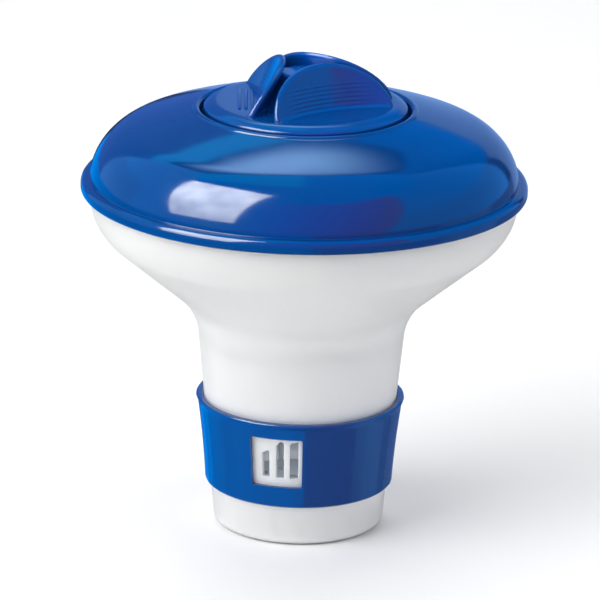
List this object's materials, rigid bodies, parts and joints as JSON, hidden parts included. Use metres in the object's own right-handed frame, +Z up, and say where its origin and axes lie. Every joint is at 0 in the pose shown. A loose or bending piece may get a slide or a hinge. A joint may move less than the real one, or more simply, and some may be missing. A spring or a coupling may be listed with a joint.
{
  "type": "floating chlorine dispenser",
  "caption": "Domed blue and white float with a lobed screw cap and a tapering tablet tube; a slotted ring on the tube sets the chlorine flow",
  "frame": {"origin": "centre of the flat base that the tube stands on", "axes": "+Z up along the tube's axis, through the cap; -Y is the side of the ring's window that the picture shows"},
  "size_m": [0.125, 0.125, 0.1354],
  "materials": {
    "blue_shell": "glossy moulded blue polypropylene",
    "white_shell": "satin white, slightly translucent polyethylene",
    "blue_ring": "glossy moulded blue polypropylene",
    "blue_cap": "glossy moulded blue polypropylene",
    "seal_rubber": "matt black rubber",
    "ballast_steel": "plain turned steel",
    "white_grate": "white moulded plastic"
  },
  "bodies": {
    "float": {"float_hull": "white_shell", "float_dome": "blue_shell", "rim_seal": "seal_rubber", "neck_seal": "seal_rubber", "ballast_disc": "ballast_steel", "tablet_grate": "white_grate"},
    "ring": {"control_ring": "blue_ring"},
    "seal": {"cap_gasket": "seal_rubber"},
    "cap": {"twist_cap": "blue_cap"}
  },
  "joints": [
    {"name": "ring_turn", "type": "hinge", "parent": "float", "child": "ring", "pos_m": [0, 0, 0.025], "axis": [0, 0, 1], "continuous": true},
    {"name": "cap_rise", "type": "slide", "parent": "float", "child": "seal", "axis": [0, 0, 1], "range_m": [0, 0.02]},
    {"name": "cap_turn", "type": "hinge", "parent": "seal", "child": "cap", "pos_m": [0, 0, 0.12], "axis": [0, 0, 1], "range_deg": [0, 300]}
  ],
  "couplings": [
    {"joint": "cap_rise", "follows": "cap_turn", "m_per_rad": 0.0038197}
  ]
}
